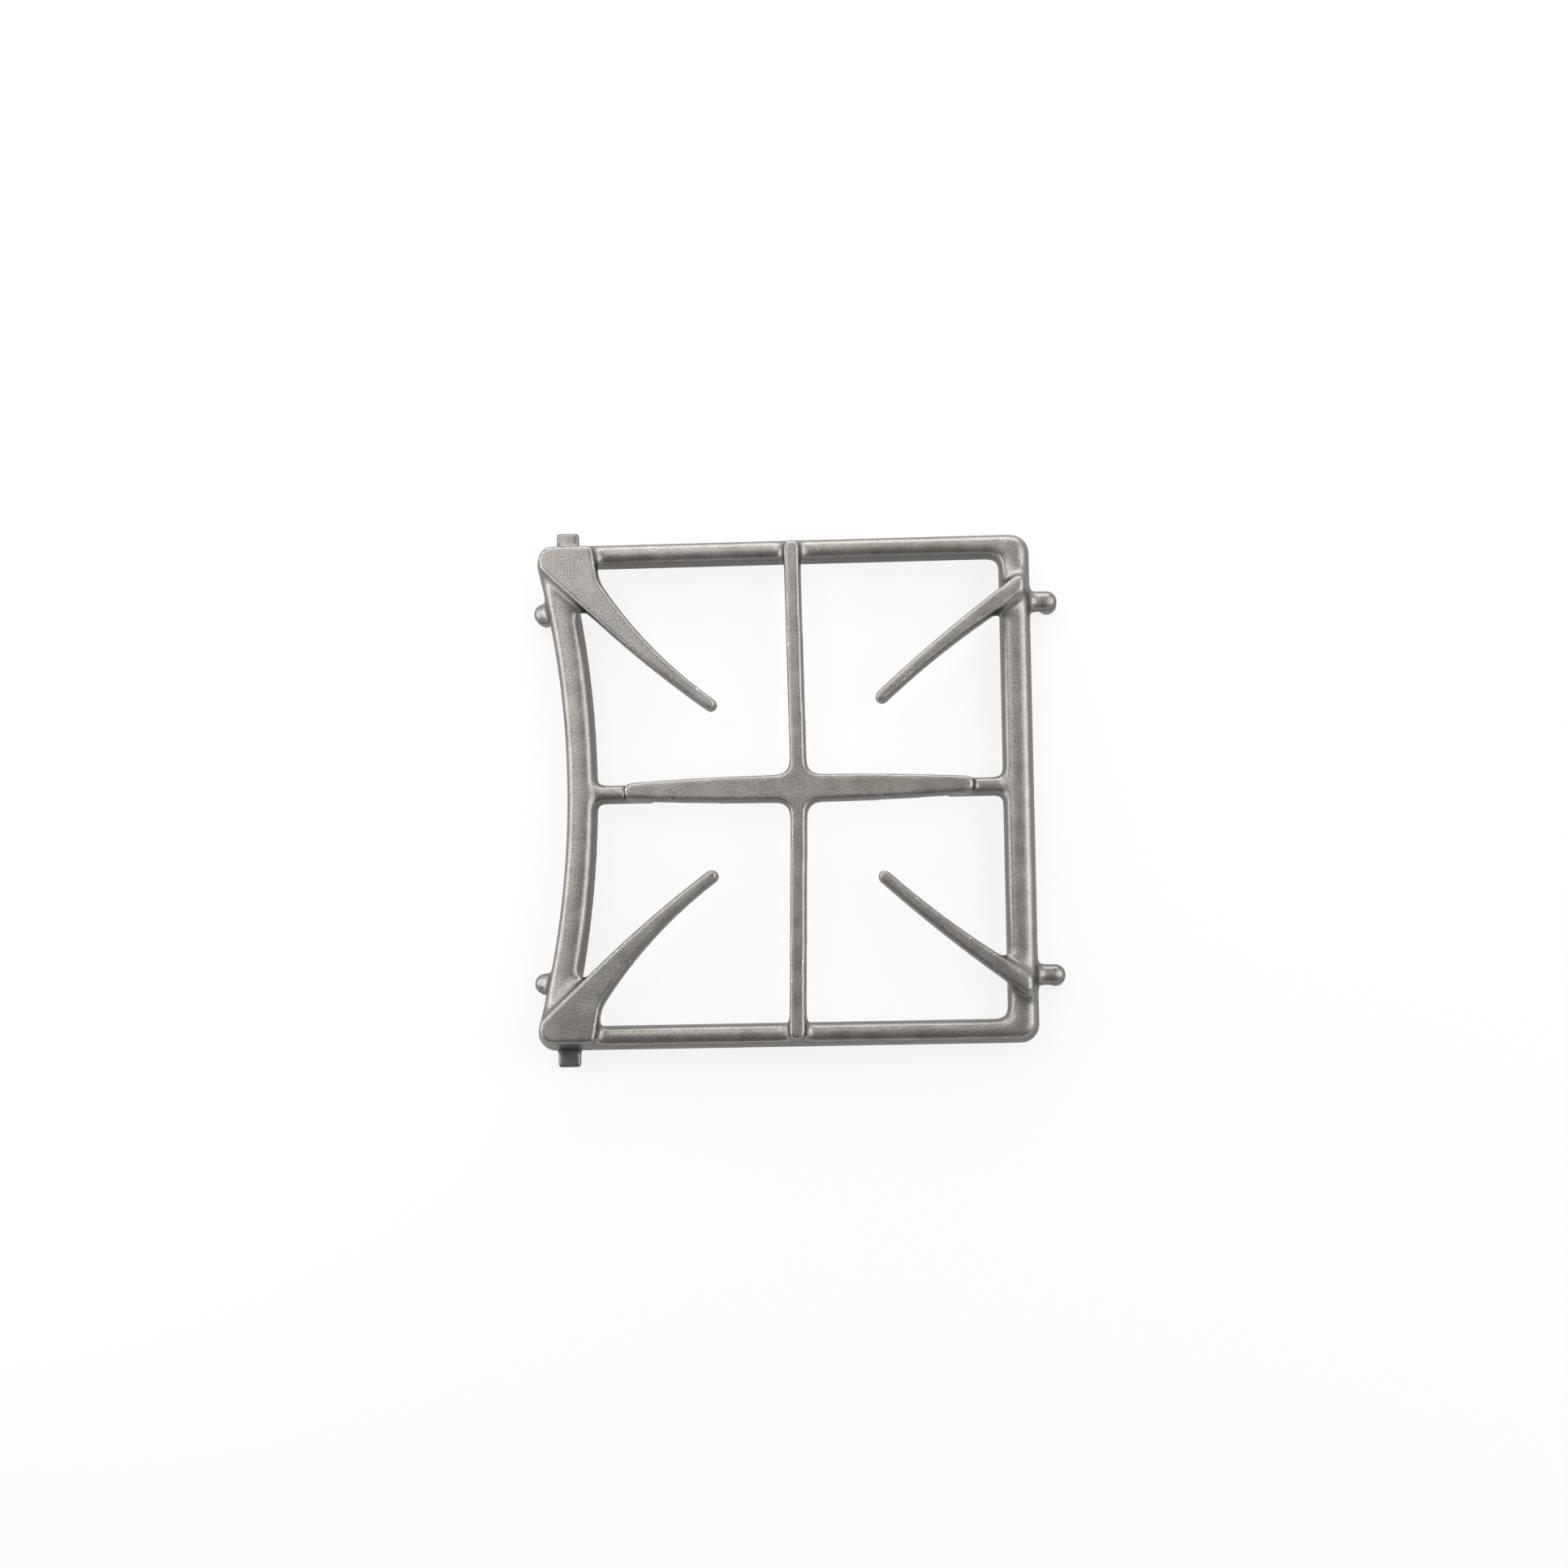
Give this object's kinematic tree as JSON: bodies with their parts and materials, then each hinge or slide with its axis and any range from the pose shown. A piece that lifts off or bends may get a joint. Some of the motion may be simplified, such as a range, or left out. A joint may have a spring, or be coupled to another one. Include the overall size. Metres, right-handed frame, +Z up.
{
  "type": "hob pan support",
  "caption": "Square cast iron hob pan support: a low frame on small round feet, with a raised cross and diagonal fingers that hold a pan over the burner.",
  "frame": {"origin": "on the hob surface, at the middle of the overall outline seen from above", "axes": "+Z up from the hob to the pan, +X from the bowed side bar to the straight side bar, +Y towards the back of the hob"},
  "size_m": [0.2558, 0.2624, 0.028],
  "materials": {
    "cast_iron": "satin grey, fine sand-cast grain"
  },
  "bodies": {
    "root": {"pan_support": "cast_iron"}
  },
  "joints": []
}
